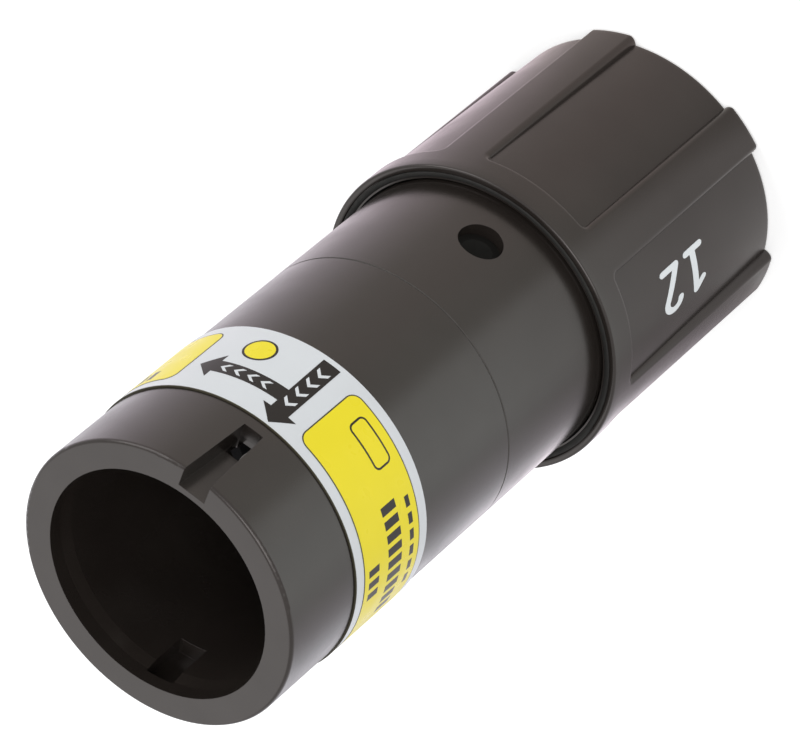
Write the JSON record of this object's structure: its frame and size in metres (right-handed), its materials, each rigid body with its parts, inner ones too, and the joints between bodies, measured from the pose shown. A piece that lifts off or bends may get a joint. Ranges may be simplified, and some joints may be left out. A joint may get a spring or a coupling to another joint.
{
  "type": "locking power plug",
  "caption": "Round single-pole power plug with a keyed locking mouth, a wrapped label, a release hole and a ribbed cable gland sleeve.",
  "frame": {"origin": "centre of the flat cable end, the lowest face, on the plug's axis", "axes": "+Z along the axis from the cable end to the mouth, -Y through the first keyway and the release hole"},
  "size_m": [0.0636, 0.0636, 0.155],
  "materials": {
    "shell_plastic": "satin glass-filled plastic, brown-black",
    "sleeve_plastic": "satin glass-filled plastic, brown-black",
    "label_white": "smooth printed film, white with yellow fields",
    "peg_black": "dull black",
    "insulator_grey": "dull dark grey",
    "tip_black": "dull black",
    "ring_grey": "dull grey",
    "washer_nylon": "natural nylon",
    "silver_plate": "silver-plated brass",
    "pad_brass": "plain brass",
    "spring_steel": "bright spring steel",
    "screw_steel": "zinc-plated steel",
    "seal_rubber": "dull black rubber"
  },
  "bodies": {
    "root": {"front_shell": "shell_plastic", "label_band": "label_white", "rear_body": "shell_plastic", "gland_sleeve": "sleeve_plastic", "lock_peg": "peg_black", "peg_springs": "spring_steel", "contact_carrier": "insulator_grey", "main_contact": "silver_plate", "contact_tip": "tip_black", "contact_washer": "spring_steel", "contact_retainer": "ring_grey", "coding_ring": "ring_grey", "carrier_key": "pad_brass", "carrier_seal": "seal_rubber", "joint_seal": "seal_rubber", "joint_snap_ring": "spring_steel", "set_screws": "screw_steel", "pressure_pad": "pad_brass", "dust_ring": "seal_rubber", "thrust_washer": "washer_nylon", "clamp_collet": "ring_grey", "seal_washer": "washer_nylon", "cable_seal": "seal_rubber", "seal_insert": "seal_rubber", "seal_stop": "ring_grey"}
  },
  "joints": []
}
